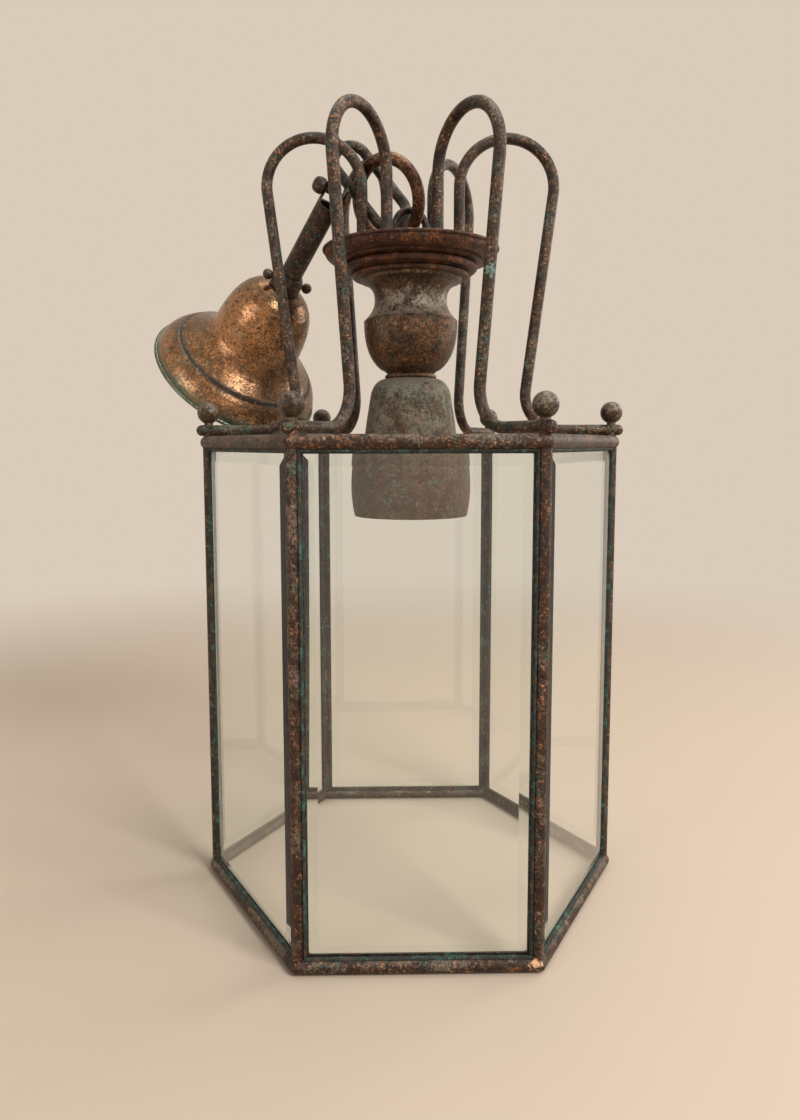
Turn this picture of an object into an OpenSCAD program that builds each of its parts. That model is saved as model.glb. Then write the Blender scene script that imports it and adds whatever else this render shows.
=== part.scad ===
// Six-sided hanging hall lantern with bevelled panes, a vase crown and its ceiling suspension.
// Origin: on the lantern's axis, at the level that the bottom ring stands on. +Z is up.

/* [Cage] */
// Distance from the axis to a ring corner, measured at the rod's centre
corner_r = 150; // [120:1:200]
// Height from the bottom ring to the top ring, between rod centres
cage_h = 324; // [220:1:460]
// Diameter of the two ring rods
ring_d = 9.5; // [8:0.5:12]
// Diameter of the corner posts
post_d = 8; // [6:0.5:10]
// How much the brazed ring corners stand out from the rods
corner_bead = 0.1; // [0.06:0.02:0.3]
// How far the posts stand in from the ring corners
post_inset = 1; // [0:0.25:2]

/* [Glass] */
// Thickness of a pane
pane_t = 4; // [3:0.5:5]
// Width of the bevel round a pane
bevel_w = 9; // [5:0.5:20]
// Depth that the bevel takes off the pane's edge
bevel_d = 1.3; // [1:0.1:2.4]
// Width of the brass strips behind the pane's edges
strip_w = 3.2; // [2.4:0.2:6]
// Thickness of those strips
strip_t = 1.6; // [1:0.2:2.4]

/* [Arms] */
// Diameter of the arm rods
arm_d = 8; // [6:0.5:10]
// Distance from the axis to an arm's inner limb
arm_in_r = 35; // [32:1:40]
// Radius of the arch at the top of an arm, at the rod's centre
arch_r = 34; // [28:1:40]
// Height of the arch's centre above the top ring
arch_h = 182; // [165:1:230]
// Angle by which the outer limb leans in towards its foot
arm_lean = 7.4; // [4:0.2:9]
// Radius of the bend above the foot, at the rod's centre
foot_bend_r = 26; // [16:1:32]
// How far a foot reaches past the ring corner
foot_over = 7.5; // [5:0.5:14]

/* [Finials] */
// Diameter of a finial ball
ball_d = 16; // [12:0.5:22]
// How far inside the ring corner a finial stands
finial_in = 1.5; // [0:0.5:3]
// Diameter of a finial's neck
ball_neck_d = 6.4; // [5:0.2:7]
// Diameter of the stud that holds the finial, the foot and the ring together
stud_d = 4; // [3:0.5:4]

/* [Crown] */
// Outer diameter of the crown dish
crown_d = 127; // [120:1:150]
// Height of the crown plate's top above the top ring
crown_h = 137; // [130:1:150]
// Thickness of the crown plate
plate_t = 3; // [2:0.5:4]
// Wall of the spun shells
shell_t = 1.6; // [1.2:0.1:2]
// Diameter of the vase's neck at its narrowest
vase_neck_d = 52.4; // [40:1:56]
// Largest diameter of the vase's cup
vase_cup_d = 68; // [60:1:76]
// Largest diameter of the bell over the lamp holder
cover_d = 89; // [80:1:100]
// Length of the bell over the lamp holder
cover_h = 100; // [90:1:120]
// Diameter of the threaded tube through the crown
tube_d = 10; // [9.5:0.1:11]
// Inner diameter of the lamp holder's screw shell
lamp_thread_d = 26.7; // [20:0.1:27]

/* [Hanging ring and links] */
// Radius of the eye on the crown, at the rod's centre
eye_r = 12; // [11.5:0.5:13]
// Diameter of the eye's rod
eye_rod_d = 5.2; // [4:0.2:5.6]
// Radius of the hanging ring, at the rod's centre
hang_r = 27.8; // [26:0.2:29]
// Diameter of the hanging ring's rod
hang_rod_d = 9; // [7:0.5:9.5]
// Radius of the long link's ends, at the rod's centre
link_r = 12.3; // [12:0.1:13]
// Length of the long link's straight sides
link_l = 47.2; // [44:0.2:50]
// Diameter of the long link's rod
link_rod_d = 7.8; // [6:0.2:8]
// Radius of the wire loop's ends, at the wire's centre
loop_r = 8.4; // [8.2:0.1:8.6]
// Diameter of the wire loop's wire
loop_wire_d = 3.4; // [2.6:0.1:3.6]

/* [Stem and canopy] */
// Outer diameter of the stem
stem_d = 16.5; // [16:0.1:17.5]
// Bore of the stem
stem_bore_d = 12; // [10:0.5:13]
// Length from the canopy's mouth to the stem's forked end
stem_reach = 184; // [178:1:187]
// Tilt of the stem from upright
stem_tilt = 46; // [44:0.5:47]
// Diameter of the canopy's mouth, over its rolled rim
canopy_d = 141; // [132:0.5:142]
// Height of the canopy
canopy_h = 92.5; // [88:0.5:98]
// Diameter of the balls on the collar's thumbscrews
thumb_ball_d = 8; // [6:0.5:10]
// Diameter of the knob on the cross pin
pin_knob_d = 12; // [9:0.5:13]

/* [Fits] */
// Gap left for solder where one rod is seated on another
solder_gap = 0.05; // [0.02:0.01:0.1]
// Radial clearance of a pin, stud or tube in its hole
hole_gap = 0.1; // [0.05:0.01:0.2]
// Gap at rest between pieces that hang on or lie against each other
rest_gap = 0.35; // [0.3:0.01:0.6]
// How much thinner a rod is where it has been bent
bend_thin = 0.04; // [0.02:0.01:0.06]

/* [Hidden] */
$fn = 64;

// Cage
ring_r = ring_d / 2;
post_r = corner_r - post_inset;
top_z = ring_r + cage_h;
foot_z = ring_r + arm_d / 2 + solder_gap;
finial_r = corner_r - finial_in;

// Panes and their strips, in the upright plane through two posts
pane_in_r = post_r * cos(30);
pane_gap = 0.3;
pane_w = post_r - post_d - 2 * pane_gap;
pane_h = cage_h - ring_d - 2 * pane_gap;
strip_out_w = post_r - 2 * (sqrt(pow(post_d / 2, 2) - pow(pane_t / 2, 2)) + solder_gap);
strip_from_rod = post_inset * cos(30) + pane_t / 2;
strip_lap = ring_r - sqrt(max(pow(ring_r, 2) - pow(strip_from_rod, 2), 0)) - solder_gap;
strip_out_h = cage_h - ring_d + 2 * strip_lap;

// Arms
arch_c = arm_in_r + arch_r;
limb_top = [arch_c + arch_r * cos(arm_lean), arch_h - arch_r * sin(arm_lean)];
limb_l = (limb_top[1] - foot_z - foot_bend_r * (1 + sin(arm_lean))) / cos(arm_lean);
bend_c = [limb_top[0] - limb_l * sin(arm_lean) + foot_bend_r * cos(arm_lean), foot_z + foot_bend_r];
foot_end = corner_r + foot_over - arm_d / 2;
bend_lap = 0.5;
stub_d = 5;
nut_h = 4;

// Crown heights, above the top ring
rim_h = crown_h + 1.5;
plate_low = crown_h - plate_t;
plate_r = 52.2;
dish_low = crown_h - 19.7;
dish_floor = dish_low + shell_t;
cup_top = dish_low - 28.8;
cup_low = cup_top - 36.5;
spacer_low = cup_low - 5.8;
tube_low = spacer_low - 19;
tube_bore_d = 7;
tube_nut_h = 6;
tube_hole_r = tube_d / 2 + 1.5 * hole_gap;

// Lamp holder
holder_top = spacer_low - shell_t - tube_nut_h;
holder_r = 18;
holder_l = 58;
thread_l = 26;
insulator_z = holder_top - 28;
cap_h = 14;

// Eye on the crown
eye_z = top_z + crown_h + 17;
eye_az = 20;

// Hanging ring: centre, the bearing of its plane, and how far it leans back
hang_c = [-16.5, 4, top_z + 174.4];
hang_az = 139.5;
hang_lean = 16;

// Long link: centre, and the bearing, rise and roll of its long axis
link_c = [-29.4, 12, top_z + 186.3];
link_az = 165;
link_rise = 52;
link_roll = 112;

// Stem: its foot is the centre of the canopy's mouth, and local +Z runs up the stem
mouth_c = [-143.1, 90.9, top_z + 54.5];
stem_az = -46;
pin_d = 5;
pin_back = 7;
fork_w = 13.2;
fork_depth = 17;
pin_at = stem_reach - pin_back;

function unit(v) = v / norm(v);
function bearing(az, rise) = [cos(rise) * cos(az), cos(rise) * sin(az), sin(rise)];
// Cubic curve from a to d, drawn towards b and c, without its first point
function curve(a, b, c, d, n = 8) = [for (i = [1 : n]) let (t = i / n, s = 1 - t)
    s * s * s * a + 3 * s * s * t * b + 3 * s * t * t * c + t * t * t * d];
// Arc of a circle round c, from angle a0 to a1
function arc(c, r, a0, a1, n = 8) = [for (i = [0 : n]) let (a = a0 + (a1 - a0) * i / n)
    c + r * [cos(a), sin(a)]];
// Direction of an outline at point i, and the outline moved sideways by t
function way(p, i) = unit(p[min(i + 1, len(p) - 1)] - p[max(i - 1, 0)]);
function inset(p, t) = [for (i = [0 : len(p) - 1]) let (w = way(p, i)) p[i] + t * [w[1], -w[0]]];
function flip(p) = [for (i = [len(p) - 1 : -1 : 0]) p[i]];
// The same points, kept between two heights
function between(p, low, high) = [for (q = p) [q[0], max(low, min(high, q[1]))]];

// Stem directions in the lantern's frame
stem_dir = bearing(stem_az, 90 - stem_tilt);
stem_x = [cos(stem_tilt) * cos(stem_az), cos(stem_tilt) * sin(stem_az), -sin(stem_tilt)];
stem_y = [-sin(stem_az), cos(stem_az), 0];
pin_c = mouth_c + pin_at * stem_dir;

// Wire loop: slack, round the cross pin and round the long link's far end
link_dir = bearing(link_az, link_rise);
link_flat = [-sin(link_az), cos(link_az), 0];
link_side = link_flat * cos(link_roll) + cross(link_dir, link_flat) * sin(link_roll);
loop_aim = [-3, 3, 0];
loop_to = link_c + (link_l / 2 + link_r) * link_dir + loop_aim;
loop_dir = unit(loop_to - pin_c);
loop_turn = 30;
loop_square = unit(cross(stem_dir, loop_dir));
loop_normal = loop_square * cos(loop_turn) + cross(loop_square, loop_dir) * sin(loop_turn);
// The cross pin is square to the stem, and as square to the loop as that leaves it
pin_turn = atan2(loop_normal * stem_y, loop_normal * stem_x);

// Places what is drawn along z, with x across, on a line from a point
module along(from, dir, side) {
    x = unit(side - (side * dir) * dir);
    y = cross(dir, x);
    multmatrix([[x[0], y[0], dir[0], from[0]],
                [x[1], y[1], dir[1], from[1]],
                [x[2], y[2], dir[2], from[2]],
                [0, 0, 0, 1]]) children();
}

module on_stem() {
    translate(mouth_c) rotate([0, stem_tilt, stem_az]) children();
}

// Round rod along an arc in the XZ plane
module rod_arc(r, d, from, sweep) {
    rotate([90, 0, 0]) rotate(from) rotate_extrude(angle = sweep) translate([r, 0]) circle(d = d);
}

// Bend of an arm's rod, a little thinner than the straights that both its ends run into
module arm_bend(r, from, sweep) {
    lap = bend_lap / r * 180 / PI;
    rod_arc(r, arm_d - bend_thin, from - lap, sweep + 2 * lap);
}

// One corner of a ring, with the sides that leave it at the angles in sides
module ring_corner(z, sides, l, grow = 0) {
    translate([corner_r, 0, z]) {
        sphere(d = ring_d + corner_bead + 2 * grow);
        for (a = sides) rotate([0, 90, a]) cylinder(d = ring_d + 2 * grow, h = l);
    }
}

module hex_ring(z) {
    for (i = [0 : 5]) rotate(60 * i) ring_corner(z, [120], corner_r);
}

module foot_seat() {
    translate([0, 0, foot_z]) rotate([0, 90, 0]) cylinder(d = arm_d + 2 * solder_gap, h = corner_r + foot_over);
}

module bottom_ring() {
    color("#5f4f3e") hex_ring(ring_r);
}

module top_ring() {
    color("#5f4f3e") difference() {
        union() {
            hex_ring(top_z);
            for (i = [0 : 5]) rotate(60 * i) translate([finial_r, 0, top_z])
                cylinder(d = ball_neck_d + 1, h = foot_z);
        }
        for (i = [0 : 5]) rotate(60 * i) translate([0, 0, top_z]) {
            foot_seat();
            translate([finial_r, 0, -1]) cylinder(r = stud_d / 2 + hole_gap, h = foot_z + 1);
        }
    }
}

module post(i) {
    color("#4f3f33") rotate(60 * i) difference() {
        translate([post_r, 0, ring_r]) cylinder(d = post_d, h = cage_h);
        for (z = [ring_r, top_z]) ring_corner(z, [120, 240], 4 * ring_d, solder_gap);
    }
}

module glazing_frame(i) {
    color("#6b5a45") rotate(60 * i + 30)
        translate([pane_in_r - (pane_t + strip_t) / 2, 0, ring_r + cage_h / 2]) difference() {
            cube([strip_t, strip_out_w, strip_out_h], center = true);
            cube([2 * strip_t, strip_out_w - 2 * strip_w, strip_out_h - 2 * strip_w], center = true);
        }
}

// Section of a pane of width w: flat inside, bevelled at both edges outside
module pane_section(w) {
    polygon([[-pane_t / 2, -w / 2], [pane_t / 2 - bevel_d, -w / 2], [pane_t / 2, bevel_w - w / 2],
             [pane_t / 2, w / 2 - bevel_w], [pane_t / 2 - bevel_d, w / 2], [-pane_t / 2, w / 2]]);
}

module pane(i) {
    color("#a9c8c0", 0.35) rotate(60 * i + 30) translate([pane_in_r, 0, ring_r + cage_h / 2])
        intersection() {
            linear_extrude(pane_h, center = true) pane_section(pane_w);
            rotate([90, 0, 0]) linear_extrude(pane_w, center = true) pane_section(pane_h);
        }
}

module arm(i) {
    color("#6a5c4e") rotate(60 * i) translate([0, 0, top_z]) difference() {
        union() {
            translate([arm_in_r, 0, crown_h]) cylinder(d = arm_d, h = arch_h - crown_h);
            translate([arm_in_r, 0, plate_low - nut_h - 1]) cylinder(d = stub_d, h = plate_t + nut_h + 2);
            translate([arch_c, 0, arch_h]) arm_bend(arch_r, -arm_lean, 180 + arm_lean);
            translate([limb_top[0], 0, limb_top[1]]) rotate([0, 180 + arm_lean, 0])
                cylinder(d = arm_d, h = limb_l);
            translate([bend_c[0], 0, bend_c[1]]) arm_bend(foot_bend_r, 180 - arm_lean, 90 + arm_lean);
            translate([bend_c[0], 0, foot_z]) rotate([0, 90, 0]) cylinder(d = arm_d, h = foot_end - bend_c[0]);
            translate([foot_end, 0, foot_z]) sphere(d = arm_d);
        }
        translate([finial_r, 0, 0]) cylinder(r = stud_d / 2 + hole_gap, h = foot_z + arm_d);
    }
}

// Ball, neck and stud; the neck is seated on the round top of the foot
module finial() {
    neck_h = 0.8;
    ball_z = foot_z + arm_d / 2 + ball_d / 2 + neck_h;
    translate([0, 0, ball_z]) sphere(d = ball_d);
    difference() {
        translate([0, 0, foot_z]) cylinder(d = ball_neck_d, h = ball_z - foot_z);
        translate([-ball_d, 0, foot_z]) rotate([0, 90, 0])
            cylinder(d = arm_d + 2 * solder_gap, h = 2 * ball_d);
    }
    translate([0, 0, -0.5]) cylinder(d = stud_d, h = ball_z);
}

module finials() {
    color("#75675a") for (i = [0 : 5]) rotate(60 * i) translate([finial_r, 0, top_z]) finial();
}

module arm_nuts() {
    color("#8a7350") for (i = [0 : 5]) rotate(60 * i) translate([arm_in_r, 0, top_z + plate_low - nut_h])
        difference() {
            cylinder(d = 2.1 * stub_d, h = nut_h, $fn = 6);
            translate([0, 0, -1]) cylinder(r = stub_d / 2 + hole_gap, h = nut_h + 2);
        }
}

module crown_plate() {
    color("#4a3527") translate([0, 0, top_z + plate_low]) difference() {
        cylinder(r = plate_r, h = plate_t);
        translate([0, 0, -1]) cylinder(d = tube_bore_d + 2 * hole_gap, h = plate_t + 2);
        for (i = [0 : 5]) rotate(60 * i) translate([arm_in_r, 0, -1])
            cylinder(r = stub_d / 2 + hole_gap, h = plate_t + 2);
    }
}

// Moulded dish: a rolled rim, a quarter round, two steps and two beads, with a ledge for the plate
module crown_dish() {
    rim_r = crown_d / 2;
    round_r = 7.3;
    under = crown_h - 7.5;
    outside = concat(
        [[rim_r - 1, rim_h]], arc([rim_r - 1, rim_h - 1.2], 1.2, 90, -60, 5),
        arc([rim_r - 1.2 - round_r, under + round_r], round_r, 0, -90),
        [[rim_r - 11.5, under], [rim_r - 11.5, under - 1.6], [rim_r - 17, under - 2.4]],
        arc([rim_r - 18, under - 5], 2.6, 80, -90, 6),
        [[rim_r - 21, under - 7.6], [rim_r - 21, under - 8.4]],
        arc([rim_r - 23, under - 10.3], 1.9, 90, -90, 6),
        [[rim_r - 26, dish_low]]);
    inside = [[tube_hole_r, dish_low], [tube_hole_r, dish_floor], [rim_r - 27, dish_floor],
        [rim_r - 22.5, under - 5], [rim_r - 18.5, under - 0.8], [plate_r - 1.2, under + 0.8],
        [plate_r - 1.2, plate_low], [plate_r + hole_gap, plate_low], [plate_r + hole_gap, crown_h - 0.5],
        [rim_r - 3, rim_h]];
    color("#5a3d2a") translate([0, 0, top_z]) rotate_extrude() polygon(concat(outside, inside));
}

// Outline of the vase's neck, from its top flange to the cup's shoulder
neck_r = vase_neck_d / 2;
neck_out = concat([[crown_d / 2 - 26.5, dish_low], [crown_d / 2 - 27.2, dish_low - 2]],
    curve([crown_d / 2 - 27.2, dish_low - 2], [neck_r + 2, dish_low - 4.5],
          [neck_r, dish_low - 9], [neck_r, dish_low - 15]),
    curve([neck_r, dish_low - 15], [neck_r, dish_low - 21],
          [neck_r + 3, dish_low - 25.5], [vase_cup_d / 2 - 1.2, cup_top]));

module vase_neck() {
    color("#7d7468") translate([0, 0, top_z]) rotate_extrude()
        polygon(concat(neck_out, flip(between(inset(neck_out, shell_t + 0.4), cup_top, dish_low))));
}

module vase_cup() {
    cup_r = vase_cup_d / 2;
    outside = concat([[cup_r - 1.2, cup_top], [cup_r, cup_top - 1.2]],
        curve([cup_r, cup_top - 1.2], [cup_r + 0.2, cup_top - 18], [cup_r - 4, cup_top - 29],
              [cup_r - 12, cup_low + 1]),
        [[cup_r - 14, cup_low]]);
    inside = flip(inset(outside, shell_t + 0.4));
    color("#6b5544") translate([0, 0, top_z]) rotate_extrude() polygon(concat(
        outside, [[tube_hole_r, cup_low], [tube_hole_r, cup_low + 2.4], [cup_r - 16, cup_low + 2.4]],
        [for (p = inside) if (p[1] > cup_low + 2.4 && p[1] < cup_top) p], [[cup_r - 3.2, cup_top]]));
}

module spacer_collar() {
    color("#4c382a") translate([0, 0, top_z]) rotate_extrude() polygon(concat(
        [[tube_hole_r, cup_low], [19.4, cup_low]],
        curve([19.4, cup_low], [18.6, cup_low - 1.4], [17, cup_low - 1.6], [17, cup_low - 2.8], 4),
        arc([17.3, spacer_low + 1.4], 1.6, 70, -60, 5),
        [[17, spacer_low], [tube_hole_r, spacer_low]]));
}

module lamp_cover() {
    r = cover_d / 2;
    top = spacer_low;
    outside = concat([[tube_hole_r, top], [18, top]],
        curve([18, top], [24, top - 0.5], [27.5, top - 4.5], [29.2, top - 11]),
        curve([29.2, top - 11], [30.6, top - 20], [32.5, top - 30], [33.8, top - 41], 4),
        curve([33.8, top - 41], [35, top - 48], [r - 4, top - 49], [r - 2.6, top - 56], 6),
        curve([r - 2.6, top - 56], [r - 0.6, top - 66], [r + 1, top - 84], [r - 2.9, top - cover_h]));
    color("#716b5f") translate([0, 0, top_z]) rotate_extrude()
        polygon(concat(outside, flip([for (p = inset(outside, shell_t)) [max(p[0], tube_hole_r), p[1]]])));
}

module centre_tube() {
    color("#9a8355") translate([0, 0, top_z + tube_low]) difference() {
        cylinder(d = tube_d, h = plate_low - tube_low);
        translate([0, 0, -1]) cylinder(d = tube_bore_d, h = plate_low - tube_low + 2);
    }
}

module tube_nuts() {
    color("#8a7350") for (z = [plate_low - tube_nut_h, dish_floor, spacer_low - shell_t - tube_nut_h])
        translate([0, 0, top_z + z]) difference() {
            cylinder(d = 1.9 * tube_d, h = tube_nut_h, $fn = 6);
            translate([0, 0, -1]) cylinder(r = tube_d / 2 + hole_gap / 2, h = tube_nut_h + 2);
        }
}

module crown_eye() {
    color("#7a7264") {
        translate([0, 0, top_z + crown_h]) cylinder(r1 = 10, r2 = 6.5, h = 5);
        translate([0, 0, top_z + plate_low - 12]) cylinder(d = tube_bore_d - hole_gap, h = plate_t + 13);
        translate([0, 0, eye_z]) rotate([90, 0, eye_az]) rotate_extrude()
            translate([eye_r, 0]) circle(d = eye_rod_d);
    }
}

module holder_cap() {
    outside = concat([[7, 0]], curve([7, 0], [13, -0.5], [holder_r, -5], [holder_r, -cap_h]));
    color("#b08d4f") translate([0, 0, top_z + holder_top]) rotate_extrude()
        polygon(concat([[tube_hole_r, 0]], outside, flip(between(inset(outside, shell_t), -cap_h, -shell_t)),
            [[tube_hole_r, -shell_t]]));
}

module holder_body() {
    color("#b08d4f") translate([0, 0, top_z + insulator_z]) difference() {
        translate([0, 0, holder_top - holder_l - insulator_z]) cylinder(r = holder_r, h = holder_l - cap_h);
        translate([0, 0, -holder_l]) cylinder(r = holder_r - shell_t, h = holder_l);
        translate([0, 0, 6]) cylinder(r = holder_r - shell_t, h = holder_l);
        translate([0, 0, -1]) cylinder(d = 3, h = 10);
    }
}

module lamp_thread() {
    color("#c9a35c") translate([0, 0, top_z + insulator_z]) difference() {
        translate([0, 0, -thread_l - 1]) cylinder(d = lamp_thread_d + 1.8, h = thread_l + 1);
        translate([0, 0, -thread_l - 2]) cylinder(d = lamp_thread_d, h = thread_l - 3);
        translate([0, 0, -6]) cylinder(d = lamp_thread_d - 2.5, h = 5);
        translate([0, 0, -2]) cylinder(d = 12, h = 3);
    }
}

module lamp_contact() {
    color("#c9a35c") translate([0, 0, top_z + insulator_z]) {
        translate([0, 0, -1.2]) cylinder(d = 10, h = 1.2);
        translate([0, 0, -4]) cylinder(d = 5, h = 3.5);
        cylinder(d = 2.8, h = 9);
    }
}

module hanging_ring() {
    color("#9a6038") translate(hang_c) rotate([0, 0, hang_az]) rotate([90 - hang_lean, 0, 0])
        rotate_extrude() translate([hang_r, 0]) circle(d = hang_rod_d);
}

// Long loop of round rod about the origin: straight sides along z, ends of radius r in the XZ plane
module oval_loop(r, d, l) {
    for (s = [-1, 1]) {
        translate([s * r, 0, -l / 2]) cylinder(d = d, h = l);
        translate([0, 0, s * l / 2]) rod_arc(r, d, s > 0 ? 0 : 180, 180);
    }
}

module long_link() {
    color("#5b5148") along(link_c, link_dir, link_side) oval_loop(link_r, link_rod_d, link_l);
}

module wire_loop() {
    color("#77736a") along((pin_c + loop_to) / 2, loop_dir, cross(loop_normal, loop_dir))
        oval_loop(loop_r, loop_wire_d, norm(loop_to - pin_c));
}

// Pin with a domed knob at one end and a low rivet head at the other
module cross_pin() {
    head_h = 1.6;
    r = pin_knob_d / 2;
    knob = concat([[0, 0], [r - 1.2, 0], [r - 0.3, 0.9]],
        curve([r - 0.3, 0.9], [r + 0.3, 3.4], [r, 6], [r - 1.6, 7.4], 5),
        curve([r - 1.6, 7.4], [r - 2.6, 8.3], [r - 4.2, 8.6], [0, 8.7], 4));
    color("#6f6a60") on_stem() translate([0, 0, pin_at]) rotate(pin_turn) rotate([0, 90, 0]) {
        translate([0, 0, -stem_d / 2 - head_h]) {
            cylinder(d = pin_d, h = stem_d + head_h + 1);
            cylinder(d = 1.8 * pin_d, h = head_h);
        }
        translate([0, 0, stem_d / 2 + hole_gap]) rotate_extrude() polygon(knob);
    }
}

// Tube with a fork at its top for the cross pin and the wire loop
module stem() {
    stem_low = 40;
    color("#5e5145") on_stem() difference() {
        translate([0, 0, stem_low]) cylinder(d = stem_d, h = stem_reach - stem_low);
        translate([0, 0, stem_low - 1]) cylinder(d = stem_bore_d, h = stem_reach);
        translate([0, 0, stem_reach - fork_depth]) rotate(pin_turn)
            translate([-fork_w / 2, -stem_d, 0]) cube([fork_w, 2 * stem_d, fork_depth + 1]);
        translate([0, 0, pin_at]) rotate(pin_turn) rotate([0, 90, 0])
            cylinder(r = pin_d / 2 + hole_gap / 2, h = 2 * stem_d, center = true);
    }
}

collar_h = 13;
thumb_turn = 70;
thumb_d = 3.5;

module stem_collar() {
    outside = concat([[11.6, 0], [11.8, 1.2]],
        curve([11.8, 1.2], [12.2, 6], [11.2, 11.5], [stem_d / 2 + 1.4, collar_h], 6));
    color("#6d6558") on_stem() translate([0, 0, canopy_h + rest_gap]) difference() {
        rotate_extrude() polygon(concat([[stem_d / 2 + hole_gap, 0]], outside,
            [[stem_d / 2 + hole_gap, collar_h]]));
        translate([0, 0, collar_h / 2]) rotate(thumb_turn) rotate([0, 90, 0])
            cylinder(r = thumb_d / 2 + hole_gap / 2, h = 40, center = true);
    }
}

module collar_screws() {
    out = 11.6 + thumb_ball_d / 2 + 0.8;
    color("#57504a") on_stem() translate([0, 0, canopy_h + rest_gap + collar_h / 2])
        for (a = [0, 180]) rotate(thumb_turn + a) {
            translate([out, 0, 0]) sphere(d = thumb_ball_d);
            translate([stem_d / 2 + 0.1, 0, 0]) rotate([0, 90, 0])
                cylinder(d = thumb_d, h = out - stem_d / 2 - 0.1);
        }
}

// Outline of the canopy from its rolled rim up to the hole for the stem
canopy_r = canopy_d / 2 - 1.6;
canopy_out = concat(
    [[canopy_r, 1.6]],
    curve([canopy_r, 1.6], [canopy_r - 0.4, 8], [canopy_r - 3.5, 15], [canopy_r - 10.6, 20.8], 7),
    [[canopy_r - 12.4, 21.2], [canopy_r - 13, 23.2]],
    curve([canopy_r - 13, 23.2], [canopy_r - 24, 30], [37.4, 36], [36.4, canopy_h - 47]),
    curve([36.4, canopy_h - 47], [35.2, canopy_h - 32], [33.5, canopy_h - 11], [19, canopy_h - 3]),
    [[stem_d / 2 + rest_gap + 4.5, canopy_h], [stem_d / 2 + rest_gap, canopy_h]]);

module canopy() {
    inner = [for (p = inset(canopy_out, -shell_t)) [max(p[0], stem_d / 2 + rest_gap), p[1]]];
    color("#b5773f") on_stem() {
        rotate_extrude() polygon(concat(canopy_out, flip(inner)));
        rotate_extrude() translate([canopy_r, 1.6]) circle(d = 3.2);
    }
}

// Eye that the lantern hangs by, screwed into the stem inside the canopy
module ceiling_loop() {
    loop_out_r = 12;
    loop_hole_r = 6;
    loop_w = 7;
    loop_at = 22;
    color("#6b6459") on_stem() {
        translate([0, 0, loop_at]) rotate([90, 0, 0]) difference() {
            cylinder(r = loop_out_r, h = loop_w, center = true);
            cylinder(r = loop_hole_r, h = 2 * loop_w, center = true);
        }
        translate([0, 0, loop_at + loop_hole_r + 2.5]) cylinder(d = 6.5, h = 8);
        translate([0, 0, loop_at + loop_out_r + 1]) cylinder(d = stem_d, h = 5);
        translate([0, 0, loop_at + loop_out_r + 5]) cylinder(d = stem_bore_d - 2 * hole_gap, h = 16);
    }
}

bottom_ring();
top_ring();
post(0);  // post_1
post(1);  // post_2
post(2);  // post_3
post(3);  // post_4
post(4);  // post_5
post(5);  // post_6
glazing_frame(0);  // glazing_frame_1
glazing_frame(1);  // glazing_frame_2
glazing_frame(2);  // glazing_frame_3
glazing_frame(3);  // glazing_frame_4
glazing_frame(4);  // glazing_frame_5
glazing_frame(5);  // glazing_frame_6
pane(0);  // pane_1
pane(1);  // pane_2
pane(2);  // pane_3
pane(3);  // pane_4
pane(4);  // pane_5
pane(5);  // pane_6
arm(0);  // arm_1
arm(1);  // arm_2
arm(2);  // arm_3
arm(3);  // arm_4
arm(4);  // arm_5
arm(5);  // arm_6
finials();
arm_nuts();
crown_plate();
crown_dish();
vase_neck();
vase_cup();
spacer_collar();
lamp_cover();
centre_tube();
tube_nuts();
crown_eye();
holder_cap();
holder_body();
lamp_thread();
lamp_contact();
hanging_ring();
long_link();
wire_loop();
cross_pin();
stem();
stem_collar();
collar_screws();
canopy();
ceiling_loop();
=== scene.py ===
import math

import bpy
import numpy as np
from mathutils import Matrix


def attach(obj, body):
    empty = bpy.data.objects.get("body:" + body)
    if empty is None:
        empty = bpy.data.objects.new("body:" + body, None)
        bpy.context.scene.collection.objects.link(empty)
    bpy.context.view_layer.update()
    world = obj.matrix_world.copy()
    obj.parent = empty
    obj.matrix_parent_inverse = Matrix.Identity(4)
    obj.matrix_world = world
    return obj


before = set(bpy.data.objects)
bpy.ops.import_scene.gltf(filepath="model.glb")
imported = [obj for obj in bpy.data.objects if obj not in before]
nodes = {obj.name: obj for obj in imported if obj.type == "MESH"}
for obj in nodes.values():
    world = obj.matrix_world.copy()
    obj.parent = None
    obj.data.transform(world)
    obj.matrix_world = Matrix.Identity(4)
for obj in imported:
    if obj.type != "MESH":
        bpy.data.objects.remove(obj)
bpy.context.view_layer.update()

print("frame loaded:", len(nodes), "nodes")


class Net:
    # a material's or the world's nodes; add makes any node and returns one of its outputs as a Wire
    def __init__(self, owner):
        owner.use_nodes = True
        self.tree = owner.node_tree
        self.tree.nodes.clear()

    def add(self, kind, settings=None, inputs=None, output=0):
        node = self.tree.nodes.new("ShaderNode" + kind)
        for name, value in (settings or {}).items():
            setattr(node, name, value)
        for name, value in (inputs or {}).items():
            if isinstance(value, Wire):
                self.tree.links.new(value.socket, node.inputs[name])
            else:
                node.inputs[name].default_value = value
        if len(node.outputs):
            return Wire(self, node.outputs[output])

    def blend(self, factor, first, second):
        # first where factor is 0, second where it is 1; the Mix node's colour sockets are 6 and 7
        return self.add("Mix", {"data_type": "RGBA", "blend_type": "MIX", "clamp_factor": True},
                        {0: factor, 6: rgba(first), 7: rgba(second)}, 2)

    def noise(self, place, scale, detail, roughness, warp=0.0):
        return self.add("TexNoise", None, {"Vector": place, "Scale": scale, "Detail": detail,
                                           "Roughness": roughness, "Distortion": warp})

    def along(self, vector, axis):
        # how far a vector reaches along an axis
        return self.add("VectorMath", {"operation": "DOT_PRODUCT"}, {0: vector, 1: axis}, 1)

    def upward(self, vector):
        return self.add("SeparateXYZ", None, {"Vector": vector}, "Z")

    def stretched(self, place, scale):
        return self.add("Mapping", None, {"Vector": place, "Scale": scale})


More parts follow.
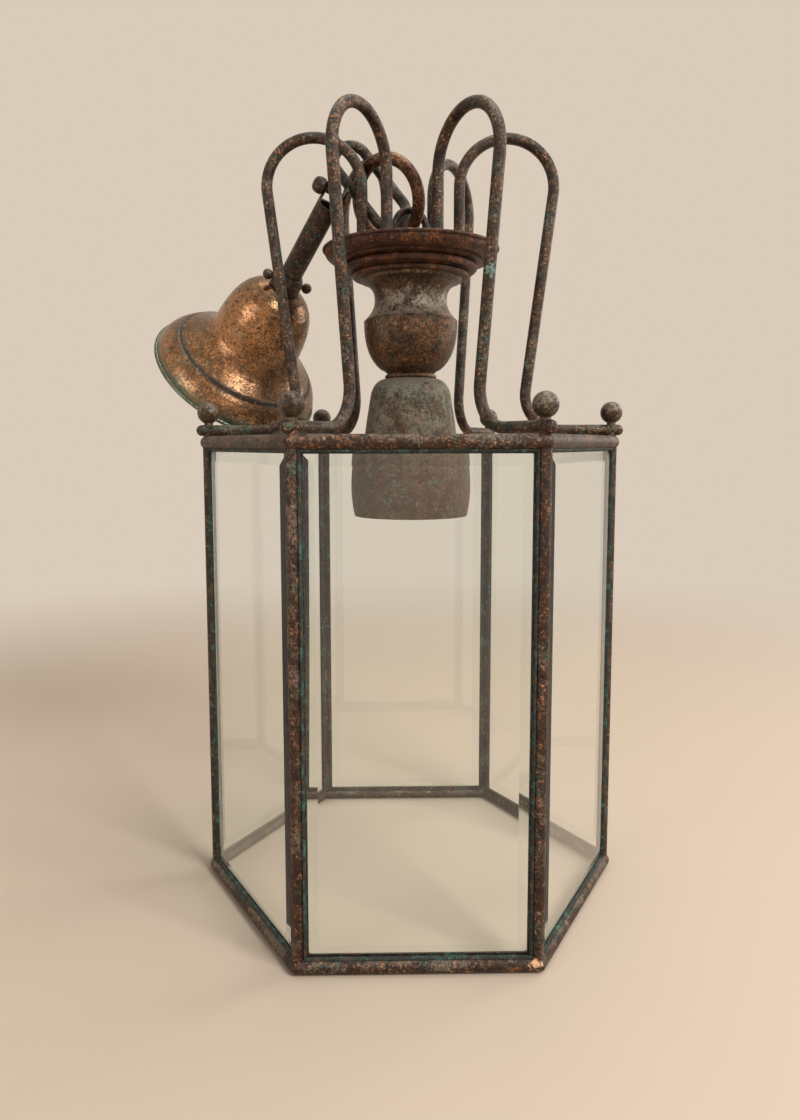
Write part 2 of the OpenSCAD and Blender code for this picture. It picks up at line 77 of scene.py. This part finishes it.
class Wire:
    # a node's output that Python arithmetic adds Math nodes to
    def __init__(self, net, socket):
        self.net = net
        self.socket = socket

    def math(self, operation, first, second):
        return self.net.add("Math", {"operation": operation}, {0: first, 1: second})

    def __add__(self, other):
        return self.math("ADD", self, other)

    def __sub__(self, other):
        return self.math("SUBTRACT", self, other)

    def __rsub__(self, other):
        return self.math("SUBTRACT", other, self)

    def __mul__(self, other):
        return self.math("MULTIPLY", self, other)

    __radd__ = __add__
    __rmul__ = __mul__

    def __abs__(self):
        return self.net.add("Math", {"operation": "ABSOLUTE"}, {0: self})

    def most(self, other):
        return self.math("MAXIMUM", self, other)

    def least(self, other):
        return self.math("MINIMUM", self, other)

    def rise(self, low, high):
        # 0 below low, 1 above high, and a smooth step between
        return self.net.add("MapRange", {"interpolation_type": "SMOOTHSTEP"},
                            {"Value": self, "From Min": low, "From Max": high})


def rgba(colour):
    # a hex text, as a colour looks on screen, turned to the linear values that shaders use: v / 12.92 in
    # the darkest tones and ((v + 0.055) / 1.055) to the power 2.4 above them
    if isinstance(colour, Wire):
        return colour
    parts = np.array([int(colour[i:i + 2], 16) for i in (0, 2, 4)]) / 255
    linear = np.where(parts > 0.04045, ((parts + 0.055) / 1.055) ** 2.4, parts / 12.92)
    return (*(float(v) for v in linear), 1.0)


bellAxis = (0.4996954, -0.5174497, 0.6946584)  # the stem's line, from the bell's mouth to the cross pin
patina = {
    # deep, body, and the next three are the tones of pits, metal, grey bloom with painted light on the sides
    # that face up, flecks and green crust;
    # the first number after them is how far up a place has to face for that bloom and painted light, and bump
    # is the relief in metres
    "cage": {
        "deep": "1d1008", "body": "4d2f1d", "paintedLitBloom": "6b6156", "copper": "cf8a52", "verdigris": "4c8a78",
        "paintedLitBloomFrom": 0.3, "paintedLitBloomAmount": 0.75, "flecks": 0.9, "green": 0.5,
        "rough": 0.46, "metal": 0.3, "bump": 0.0007,
        "spots": [((0.0725, -0.1345, 0.0075), 0.006, "e8b88c", 1.0)]},
    "strip": {
        "deep": "17100b", "body": "3a2a1d", "paintedLitBloom": "55503f", "copper": "8d6a3c", "verdigris": "4f8f7e",
        "paintedLitBloomFrom": 0.3, "paintedLitBloomAmount": 0.6, "flecks": 0.4, "green": 0.9,
        "rough": 0.55, "metal": 0.3, "bump": 0.0003},
    "arm": {
        "deep": "1b110b", "body": "4b3424", "paintedLitBloom": "686157", "copper": "cf8d55", "verdigris": "4e9280",
        "paintedLitBloomFrom": 0.35, "paintedLitBloomAmount": 0.7, "flecks": 0.9, "green": 0.55,
        "rough": 0.44, "metal": 0.3, "bump": 0.0007,
        "spots": [((0.0475, -0.0875, 0.436), 0.009, "7fa596", 0.75)]},
    "finial": {
        "deep": "281b13", "body": "513c2b", "paintedLitBloom": "7c7264", "copper": "c08a58", "verdigris": "5a8c7d",
        "paintedLitBloomFrom": 0.25, "paintedLitBloomAmount": 0.7, "flecks": 0.5, "green": 0.35,
        "rough": 0.36, "metal": 0.4, "bump": 0.0004},
    "fastener": {
        "deep": "33271a", "body": "6b5534", "paintedLitBloom": "85704a", "copper": "b08d4f", "verdigris": "5a8c7d",
        "paintedLitBloomFrom": 0.3, "paintedLitBloomAmount": 0.5, "flecks": 0.5, "green": 0.4,
        "rough": 0.42, "metal": 0.7, "bump": 0.0002},
    "crown": {
        "deep": "221007", "body": "66381c", "paintedLitBloom": "6b5340", "copper": "bd7438", "verdigris": "5a8072",
        "paintedLitBloomFrom": 0.5, "paintedLitBloomAmount": 0.65, "flecks": 0.9, "green": 0.25,
        "rough": 0.48, "metal": 0.3, "bump": 0.0007, "streak": 0.5},
    "neck": {
        "deep": "2c1f15", "body": "644c38", "paintedLitBloom": "94897a", "copper": "ad7546", "verdigris": "648a7c",
        "paintedLitBloomFrom": 0.1, "paintedLitBloomAmount": 0.75, "flecks": 0.55, "green": 0.4,
        "rough": 0.36, "metal": 0.45, "bump": 0.0005},
    "cup": {
        "deep": "29190c", "body": "65452a", "paintedLitBloom": "857766", "copper": "b97f49", "verdigris": "5d8375",
        "paintedLitBloomFrom": 0.4, "paintedLitBloomAmount": 0.75, "flecks": 0.9, "green": 0.4,
        "rough": 0.4, "metal": 0.45, "bump": 0.0006},
    "cover": {
        "deep": "3a2818", "body": "66503d", "paintedLitBloom": "7b7a6c", "copper": "b57a4a", "verdigris": "5b8f80",
        "paintedLitBloomFrom": -0.1, "paintedLitBloomAmount": 0.75, "flecks": 0.8, "green": 0.6,
        "rough": 0.56, "metal": 0.2, "bump": 0.0005,
        "fade": {"axis": (0.0, 0.0, 1.0), "from": 0.36, "to": 0.3, "colour": "50341f", "amount": 0.85}},
    # painted shade: darker tones than the crown's, for the shadow the eye sits in
    "eye": {
        "deep": "140c07", "body": "33231a", "paintedLitBloom": "5b4a3c", "copper": "8d5c33", "verdigris": "5a8072",
        "paintedLitBloomFrom": 0.2, "paintedLitBloomAmount": 0.6, "flecks": 0.5, "green": 0.2,
        "rough": 0.45, "metal": 0.4, "bump": 0.0004},
    "holder": {
        "deep": "5d4724", "body": "94733c", "paintedLitBloom": "a8894e", "copper": "c69d55", "verdigris": "7a9a70",
        "paintedLitBloomFrom": 0.4, "paintedLitBloomAmount": 0.4, "flecks": 0.5, "green": 0.1,
        "rough": 0.35, "metal": 0.85, "bump": 0.0002},
    "hangingRing": {
        "deep": "301a0c", "body": "6b452b", "paintedLitBloom": "9a7452", "copper": "c08552", "verdigris": "5b8070",
        "paintedLitBloomFrom": 0.3, "paintedLitBloomAmount": 0.6, "flecks": 0.7, "green": 0.15,
        "rough": 0.34, "metal": 0.55, "bump": 0.0005},
    "link": {
        "deep": "160e09", "body": "3e2d21", "paintedLitBloom": "615a4f", "copper": "a96e3f", "verdigris": "4f8576",
        "paintedLitBloomFrom": 0.1, "paintedLitBloomAmount": 0.75, "flecks": 0.7, "green": 0.6,
        "rough": 0.48, "metal": 0.35, "bump": 0.0006},
    "stem": {
        "deep": "180e08", "body": "493222", "paintedLitBloom": "6b6559", "copper": "b0733f", "verdigris": "4f8576",
        "paintedLitBloomFrom": 0.2, "paintedLitBloomAmount": 0.7, "flecks": 0.8, "green": 0.45,
        "rough": 0.46, "metal": 0.35, "bump": 0.0006},
    "canopy": {
        "deep": "4f3c2b", "body": "b8845a", "paintedLitBloom": "77695a", "copper": "f4c796", "verdigris": "4f8f80",
        "paintedLitBloomFrom": 0.9, "paintedLitBloomAmount": 0.6, "flecks": 0.4, "green": 0.4,
        "rough": 0.26, "metal": 0.8, "bump": 0.00012, "tarnish": (0.38, 0.51), "worms": 0.95,
        # painted shade: a darker tone on the bell's side that faces away from this direction
        "paintedSideShade": {"towards": (-0.62, -0.6, -0.5), "from": 0.1, "to": 0.75, "colour": "5a452f",
                   "amount": 0.75},
        "fade": {"axis": bellAxis, "from": 0.1617, "to": 0.1507, "colour": "52655a", "amount": 0.95},
        # painted shade: a dark band in the groove round the bell
        "paintedGrooveShade": {"axis": bellAxis, "middle": 0.1699, "reach": 0.0024, "colour": "1d130b", "amount": 0.9}},
}
wear = {
    # noises that every metal shares: scale per metre, detail, roughness and, where it winds, distortion
    "broad": (28.0, 3.0, 0.55), "clouds": (75.0, 5.0, 0.65, 0.6), "blotch": (210.0, 5.0, 0.7, 0.9),
    "grain": (520.0, 4.0, 0.72, 0.8), "dust": (1100.0, 2.0, 0.6), "runs": (300.0, 4.0, 0.6),
    "winding": (120.0, 1.0, 0.5, 2.6), "crust": (450.0, 3.0, 0.7, 1.2), "cluster": (60.0, 3.0, 0.6),
    "paintedLitFrost": (600.0, 2.0, 0.6, 0.5), "pits": (700.0, 2.0, 0.5),
    # where each layer starts and where it is full
    "tarnish": (0.43, 0.57), "runsShow": (0.5, 0.62), "wormEdge": (0.014, 0.04), "wormsShow": (0.78, 0.98),
    "flecksShow": (0.555, 0.6), "fleckFields": (0.64, 0.84), "crustShows": (0.54, 0.6),
    "clusterShows": (0.48, 0.62), "paintedLitFrostShows": (0.62, 0.67), "pitEdge": (0.34, 0.4), "spotEdge": (0.35, 0.6),
    # how uneven the noises make a layer's outline
    "paintedLitBloomRagged": {"broad": 1.6, "clouds": 2.4, "blotch": 1.6, "grain": 2.4},
    "paintedSideShadeRagged": {"clouds": 1.4, "grain": 1.6}, "paintedGrooveShadeRagged": {"grain": 0.003},
    "spotRagged": {"blotch": 1.5, "grain": 1.5},
    # how the grey bloom and painted light follow the way a place faces, and how strongly other layers cover
    # what is below
    "paintedLitBloomUpward": 0.55, "paintedLitBloomReach": (0.25, 0.4), "runLength": 0.12,
    # the grey specks show only where the painted light of the bloom falls
    "paintedLitFrostAmount": 0.45, "paintedLitFrostTone": "aaa598", "pitAmount": 0.85, "bumpStrength": 0.8}


def agedMetal(name, look):
    # mottled tarnish, grey bloom with painted light where the piece faces up, bright flecks, verdigris in
    # clusters, dark pits
    material = bpy.data.materials.new(name)
    net = Net(material)
    place = net.add("TexCoord", output="Object")
    normal = net.add("TexCoord", output="Normal")
    layers = {layer: net.noise(place, *wear[layer])
              for layer in ("broad", "clouds", "blotch", "grain", "dust")}
    broad, clouds, blotch, grain, dust = layers.values()

    def ragged(value, amounts):
        # the value, made uneven by an amount of each noise about its middle
        for layer, amount in amounts.items():
            value = value + (layers[layer] - 0.5) * amount
        return value

    mottle = (clouds * 0.25 + blotch * 0.35 + grain * 0.4).rise(*look.get("tarnish", wear["tarnish"]))
    colour = net.blend(mottle, look["deep"], look["body"])
    if "streak" in look:  # runs down the sides
        runs = net.noise(net.stretched(place, (1.0, 1.0, wear["runLength"])), *wear["runs"])
        colour = net.blend(runs.rise(*wear["runsShow"]) * look["streak"], colour, look["deep"])

    # painted light: a lighter grey where a place faces up, partly grey bloom and partly light falling from
    # above
    facing = ragged(net.upward(normal) * wear["paintedLitBloomUpward"], wear["paintedLitBloomRagged"])
    below, above = wear["paintedLitBloomReach"]
    paintedLitBloom = facing.rise(look["paintedLitBloomFrom"] - below, look["paintedLitBloomFrom"] + above) * look["paintedLitBloomAmount"]
    colour = net.blend(paintedLitBloom, colour, look["paintedLitBloom"])
    if "paintedSideShade" in look:  # painted shade: darker on the side that faces away from one direction, brighter on the side that faces it
        paintedSideShade = look["paintedSideShade"]
        faced = ragged(net.along(normal, paintedSideShade["towards"]), wear["paintedSideShadeRagged"])
        shaded = 1 - faced.rise(paintedSideShade["from"], paintedSideShade["to"])
        colour = net.blend(shaded * paintedSideShade["amount"], colour, paintedSideShade["colour"])

    worms = 0.0
    if "worms" in look:  # thin winding lines of tarnish, where a noise crosses its middle value
        winding = abs(net.noise(place, *wear["winding"]) - 0.5)
        worms = (1 - winding.rise(*wear["wormEdge"])) * look["worms"]
        worms = worms * (broad + grain).rise(*wear["wormsShow"])
        colour = net.blend(worms, colour, look["deep"])
    if "fade" in look:  # another tone towards one end of the piece
        fade = look["fade"]
        low, high = sorted((fade["from"], fade["to"]))
        amount = ragged(net.along(place, fade["axis"]), {"clouds": high - low}).rise(low, high)
        if fade["from"] > fade["to"]:
            amount = 1 - amount
        colour = net.blend(amount * fade["amount"] * (0.4 + grain), colour, fade["colour"])
    grooveShadeMask = 0.0
    if "paintedGrooveShade" in look:  # painted shade: a dark band in the groove round the piece
        paintedGrooveShade = look["paintedGrooveShade"]
        away = ragged(abs(net.along(place, paintedGrooveShade["axis"]) - paintedGrooveShade["middle"]), wear["paintedGrooveShadeRagged"])
        grooveShadeMask = (1 - away.rise(paintedGrooveShade["reach"] * 0.4, paintedGrooveShade["reach"])) * paintedGrooveShade["amount"]
        colour = net.blend(grooveShadeMask, colour, paintedGrooveShade["colour"])

    flecks = (grain * 0.7 + dust * 0.3).rise(*wear["flecksShow"])
    flecks = flecks * (clouds + blotch * 0.5).rise(*wear["fleckFields"]) * look["flecks"]
    colour = net.blend(flecks, colour, look["copper"])
    green = net.noise(place, *wear["crust"]).rise(*wear["crustShows"])
    green = green * net.noise(place, *wear["cluster"]).rise(*wear["clusterShows"]) * look["green"]
    colour = net.blend(green, colour, look["verdigris"])
    # grey specks, shown only where the painted light of the bloom falls
    paintedLitFrost = net.noise(place, *wear["paintedLitFrost"]).rise(*wear["paintedLitFrostShows"]) * paintedLitBloom
    colour = net.blend(paintedLitFrost * wear["paintedLitFrostAmount"], colour, wear["paintedLitFrostTone"])
    for centre, reach, tone, amount in look.get("spots", []):  # a rubbed or crusted place
        away = net.add("VectorMath", {"operation": "DISTANCE"}, {0: place, 1: centre}, 1)
        near = ragged(1 - away * (1 / reach), wear["spotRagged"])
        colour = net.blend(near.rise(*wear["spotEdge"]) * amount, colour, tone)
    pits = 1 - net.noise(place, *wear["pits"]).rise(*wear["pitEdge"])
    colour = net.blend(pits * wear["pitAmount"], colour, look["deep"])

    height = blotch * 0.5 + grain * 0.8 + dust * 0.4 - pits * 0.5 + green * 0.3
    bump = net.add("Bump", None, {
        "Strength": wear["bumpStrength"], "Distance": look["bump"], "Height": height})
    dull = green + worms * 0.5 + grooveShadeMask
    metallic = (flecks * 0.4 + look["metal"]) * (1 - paintedLitBloom * 0.4) * (1 - dull.least(1.0))
    roughness = look["rough"] + (grain - 0.5) * 0.6 + paintedLitBloom * 0.06 + dull * 0.25 + pits * 0.2 - flecks * 0.12
    shader = net.add("BsdfPrincipled", None, {
        "Base Color": colour, "Metallic": metallic, "Roughness": roughness, "Normal": bump})
    net.add("OutputMaterial", None, {"Surface": shader})
    return material


pane = {
    # sizes in metres: apothem is from the lantern's axis to the pane's middle plane, middle is a height
    "thickness": 0.004, "bevelDepth": 0.0013, "width": 0.1404, "height": 0.3139,
    "apothem": 0.129038, "middle": 0.16675,
    "face": "fbfdfc", "bevelTone": "cfe0d8", "bevelAmount": 0.3, "bevelSlope": (0.05, 0.12),
    "cutSlope": (0.6, 0.8), "reflection": 0.08, "smears": (26.0, 3.0, 0.6, 0.8), "smearsShow": (0.6, 0.85),
    "smearRough": 0.02, "clear": "fcfefd",
    "edgeTone": "4f7f70", "edgeDark": "24463d", "edgeInset": 0.00004, "edgeFilm": 0.00006,
    "grinding": (420.0, 4.0, 0.7), "grindingShows": (0.4, 0.62), "grindingLength": 0.3,
    "chips": (900.0, 2.0, 0.6), "chipsShow": (0.6, 0.66), "chipTone": "a9cdbf"}
paneTurns = [60 * i - 30 for i in range(1, 7)]  # where each pane faces, in degrees about the upright axis


def glassMaterial(name, azimuth):
    # clear glass, faintly green in its bevels; rays from lamps and from lit surfaces pass it unbent
    material = bpy.data.materials.new(name)
    net = Net(material)
    place = net.add("TexCoord", output="Object")
    normal = net.add("TexCoord", output="Normal")
    turn = math.radians(azimuth)
    sideways = abs(net.along(normal, (-math.sin(turn), math.cos(turn), 0)))
    slope = sideways.most(abs(net.upward(normal)))
    colour = net.blend(slope.rise(*pane["bevelSlope"]) * pane["bevelAmount"], pane["face"], pane["bevelTone"])
    colour = net.blend(slope.rise(*pane["cutSlope"]), colour, pane["edgeTone"])
    smears = net.noise(place, *pane["smears"]).rise(*pane["smearsShow"])
    glass = net.add("BsdfPrincipled", None, {
        "Base Color": colour, "Roughness": smears * pane["smearRough"], "IOR": 1.5,
        "Specular IOR Level": pane["reflection"], "Transmission Weight": 1.0})
    clear = net.add("BsdfTransparent", None, {"Color": rgba(pane["clear"])})
    for ray in ("Is Diffuse Ray", "Is Shadow Ray"):
        glass = net.add("MixShader", None, {0: net.add("LightPath", output=ray), 1: glass, 2: clear})
    net.add("OutputMaterial", None, {"Surface": glass})
    return material


def edgeMaterial():
    # ground glass edge: sea green, darker where the grinding went deeper, with small chips
    material = bpy.data.materials.new("groundGlassEdge")
    net = Net(material)
    place = net.add("TexCoord", output="Object")
    grinding = net.noise(net.stretched(place, (1.0, 1.0, pane["grindingLength"])), *pane["grinding"])
    chips = net.noise(place, *pane["chips"]).rise(*pane["chipsShow"])
    colour = net.blend(grinding.rise(*pane["grindingShows"]), pane["edgeDark"], pane["edgeTone"])
    colour = net.blend(chips * 0.5, colour, pane["chipTone"])
    bump = net.add("Bump", None, {"Strength": 0.5, "Distance": 0.0002, "Height": grinding})
    shader = net.add("BsdfPrincipled", None, {
        "Base Color": colour, "Roughness": 0.45 + chips * 0.2, "Normal": bump})
    net.add("OutputMaterial", None, {"Surface": shader})
    return material


putty = {
    # the line's section in millimetres: out from the pane's middle plane, and in from its cut edge
    "section": [(0.78, -0.2), (1.0, 1.3), (1.5, 1.28), (2.15, 1.05), (2.7, 0.5), (2.95, -0.1), (2.9, -0.6),
                (1.9, -0.36)],
    "green": "3c6a5d", "dark": "1b1f1a", "rust": "54391f",
    "patches": (130.0, 4.0, 0.65, 0.5), "grain": (560.0, 4.0, 0.7), "greenShows": (0.5, 0.62),
    "rusting": (90.0, 3.0, 0.6, 1.0), "rustShows": (0.56, 0.66), "cracks": (320.0, 3.0, 0.6, 1.5),
    "crackEdge": (0.36, 0.42)}


def puttyMaterial():
    # old putty stained green by the brass, dark in patches, with rust and cracks
    material = bpy.data.materials.new("stainedPutty")
    net = Net(material)
    place = net.add("TexCoord", output="Object")
    patches = net.noise(place, *putty["patches"])
    grain = net.noise(place, *putty["grain"])
    stain = (patches * 0.6 + grain * 0.4).rise(*putty["greenShows"])
    colour = net.blend(stain, putty["dark"], putty["green"])
    rust = net.noise(place, *putty["rusting"]).rise(*putty["rustShows"])
    colour = net.blend(rust * 0.7, colour, putty["rust"])
    cracks = 1 - net.noise(place, *putty["cracks"]).rise(*putty["crackEdge"])
    colour = net.blend(cracks * 0.7, colour, putty["dark"])
    bump = net.add("Bump", None, {"Strength": 0.8, "Distance": 0.0004, "Height": grain - cracks * 0.6})
    shader = net.add("BsdfPrincipled", None, {
        "Base Color": colour, "Roughness": 0.55 + grain * 0.3, "Normal": bump})
    net.add("OutputMaterial", None, {"Surface": shader})
    return material


def roundThePanes(name, section, material):
    # a section of n points (u), each an offset out from the pane's middle plane and in from its cut edge,
    # is carried round the pane's outline, whose four corners are v: the offset in moves a corner towards the
    # pane's middle both ways, which mitres it. The loop is then turned about the upright axis to each pane
    out, inset = np.array(section).T
    n = len(section)
    half = np.array([pane["width"] / 2, pane["height"] / 2])
    signs = np.array([[-1, -1], [1, -1], [1, 1], [-1, 1]])
    outline = signs[:, None, :] * (half - inset[:, None])[None, :, :]
    away = np.broadcast_to(pane["apothem"] + out, (4, n))
    turns = np.radians(paneTurns)[:, None, None]
    x = np.cos(turns) * away - np.sin(turns) * outline[..., 0]
    y = np.sin(turns) * away + np.cos(turns) * outline[..., 0]
    z = np.broadcast_to(pane["middle"] + outline[..., 1], x.shape)
    points = np.stack([x, y, z], -1).reshape(-1, 3)
    u, v = np.meshgrid(np.arange(n), np.arange(4))
    nextU, nextV = (u + 1) % n, (v + 1) % 4
    faces = np.stack([v * n + u, nextV * n + u, nextV * n + nextU, v * n + nextU], -1).reshape(1, -1, 4)
    faces = (faces + 4 * n * np.arange(len(paneTurns))[:, None, None]).reshape(-1, 4)
    mesh = bpy.data.meshes.new(name)
    mesh.from_pydata(points.tolist(), [], faces.tolist())
    mesh.materials.append(material)
    piece = bpy.data.objects.new(name, mesh)
    bpy.context.scene.collection.objects.link(piece)
    return piece


def edgeSection():
    # a thin film on the cut edge: it goes through the pane from its back face to where the bevel starts
    back = pane["edgeInset"] - pane["thickness"] / 2
    front = pane["thickness"] / 2 - pane["bevelDepth"] - pane["edgeInset"]
    near, far = pane["edgeInset"], pane["edgeInset"] + pane["edgeFilm"]
    return [(back, near), (back, far), (front, far), (front, near)]


finishOf = {
    "cage": ["bottom_ring", "top_ring"] + [f"post_{i}" for i in range(1, 7)],
    "strip": [f"glazing_frame_{i}" for i in range(1, 7)],
    "arm": [f"arm_{i}" for i in range(1, 7)],
    "finial": ["finials", "cross_pin", "collar_screws"],
    "fastener": ["arm_nuts", "tube_nuts", "centre_tube"],
    "crown": ["crown_dish", "crown_plate"],
    "neck": ["vase_neck"],
    "eye": ["crown_eye"],
    "cup": ["vase_cup", "spacer_collar"],
    "cover": ["lamp_cover"],
    "holder": ["holder_cap", "holder_body", "lamp_thread", "lamp_contact"],
    "hangingRing": ["hanging_ring"],
    "link": ["long_link", "wire_loop"],
    "stem": ["stem", "stem_collar", "ceiling_loop"],
    "canopy": ["canopy"],
}


def dress(name, material):
    # the material goes into every slot of the node's object
    for slot in nodes[name].material_slots:
        slot.material = material


for finish, members in finishOf.items():
    metal = agedMetal(finish + "Patina", patina[finish])
    for member in members:
        dress(member, metal)
for number, azimuth in enumerate(paneTurns, 1):
    dress(f"pane_{number}", glassMaterial(f"bevelledGlass{number}", azimuth))
print("materials on", sum(len(members) for members in finishOf.values()) + len(paneTurns), "nodes")

edges = roundThePanes("ground_edges", edgeSection(), edgeMaterial())
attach(edges, "lantern")
lines = roundThePanes("putty_lines", np.array(putty["section"]) / 1000, puttyMaterial())
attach(lines, "lantern")
print("ground edges and putty lines made")


studio = {
    # sizes and places in metres, power in watts; the floor fades to the background between the two distances
    "floorSize": 12.0, "floorColour": "d8c6b2", "floorRough": 0.85, "background": "dacbba", "ambient": 0.3,
    "fade": (0.5, 1.5), "aim": (0.0, 0.0, 0.3),
    "key": {"place": (1.15, -1.35, 1.45), "size": 0.8, "power": 34.0, "colour": (1.0, 0.97, 0.93)},
    "fill": {"place": (-1.6, -1.6, 0.9), "size": 1.0, "power": 10.0, "colour": (0.98, 0.98, 1.0)},
    "side": {"place": (1.9, 0.9, 1.0), "size": 0.9, "power": 14.0, "colour": (1.0, 0.98, 0.95)},
    "top": {"place": (0.3, 0.2, 2.2), "size": 1.3, "power": 16.0, "colour": (1.0, 0.99, 0.97)},
}


def areaLamp(name, spec):
    # a square lamp that looks at the middle of the lantern
    lamp = bpy.data.lights.new(name, "AREA")
    lamp.energy = spec["power"]
    lamp.size = spec["size"]
    lamp.color = spec["colour"]
    stand = bpy.data.objects.new(name, lamp)
    bpy.context.scene.collection.objects.link(stand)
    stand.location = spec["place"]
    aim = np.array(studio["aim"]) - np.array(spec["place"])
    yaw = math.atan2(aim[1], aim[0]) - math.pi / 2
    fall = math.atan2(math.hypot(aim[0], aim[1]), -aim[2])
    stand.rotation_euler = (fall, 0.0, yaw)


def seenDirectly(net):
    # 1 for rays that show the background, from the camera, a reflection or through glass, and 0 for rays
    # that light a surface, which have left a diffuse surface before
    camera = net.add("LightPath", output="Is Camera Ray")
    shown = camera.most(net.add("LightPath", output="Is Glossy Ray"))
    shown = shown.most(net.add("LightPath", output="Is Transmission Ray"))
    return shown * (1 - net.add("LightPath", output="Diffuse Depth").least(1.0))


def plainWorld():
    # the background's colour where it is seen, and a weaker light of it on the lantern
    world = bpy.data.worlds.new("studioAir")
    bpy.context.scene.world = world
    net = Net(world)
    strength = seenDirectly(net) * (1.0 - studio["ambient"]) + studio["ambient"]
    net.add("OutputWorld", None, {"Surface": net.add("Background", None, {
        "Color": rgba(studio["background"]), "Strength": strength})})


def plainFloor():
    # a flat square whose colour turns into the background's with the distance from the lantern
    mesh = bpy.data.meshes.new("floor")
    half = studio["floorSize"] / 2
    mesh.from_pydata([(-half, -half, 0), (half, -half, 0), (half, half, 0), (-half, half, 0)], [],
                     [(0, 1, 2, 3)])
    floor = bpy.data.objects.new("floor", mesh)
    bpy.context.scene.collection.objects.link(floor)
    material = bpy.data.materials.new("paleFloor")
    net = Net(material)
    away = net.add("VectorMath", {"operation": "LENGTH"}, {0: net.add("TexCoord", output="Object")}, 1)
    fading = away.rise(*studio["fade"]) * seenDirectly(net)
    near = net.add("BsdfPrincipled", None, {
        "Base Color": rgba(studio["floorColour"]), "Roughness": studio["floorRough"]})
    distant = net.add("Emission", None, {"Color": rgba(studio["background"]), "Strength": 1.0})
    shader = net.add("MixShader", None, {0: fading, 1: near, 2: distant})
    net.add("OutputMaterial", None, {"Surface": shader})
    mesh.materials.append(material)
    return floor


for lampName in ("key", "fill", "side", "top"):
    areaLamp(lampName + "Lamp", studio[lampName])
plainWorld()
plainFloor()
print("lamps, background and floor set")

cameraPlan = {
    # place in metres, angles in degrees, and the rest in pixels of the photograph's frame
    "place": (-0.02284, -0.61869, 0.32747), "fall": 5.62, "turn": -0.985, "roll": 0.10,
    "focal": 833.1, "frameWidth": 800, "frameHeight": 1120, "centre": (394.16, 526.02),
    "sensorHeight": 36.0, "clipStart": 0.01}


def setCamera():
    lens = bpy.data.cameras.new("camera")
    camera = bpy.data.objects.new("camera", lens)
    bpy.context.scene.collection.objects.link(camera)
    camera.location = cameraPlan["place"]
    camera.rotation_euler = (math.radians(90 - cameraPlan["fall"]), math.radians(cameraPlan["roll"]),
                             math.radians(cameraPlan["turn"]))
    frameHeight = cameraPlan["frameHeight"]
    lens.sensor_fit = "VERTICAL"
    lens.sensor_height = cameraPlan["sensorHeight"]
    lens.lens = cameraPlan["focal"] / frameHeight * lens.sensor_height
    lens.shift_x = (cameraPlan["frameWidth"] / 2 - cameraPlan["centre"][0]) / frameHeight
    lens.shift_y = (cameraPlan["centre"][1] - frameHeight / 2) / frameHeight
    lens.clip_start = cameraPlan["clipStart"]
    return camera


bpy.context.scene.camera = setCamera()
bpy.context.scene.view_settings.view_transform = "Standard"
print("camera set")
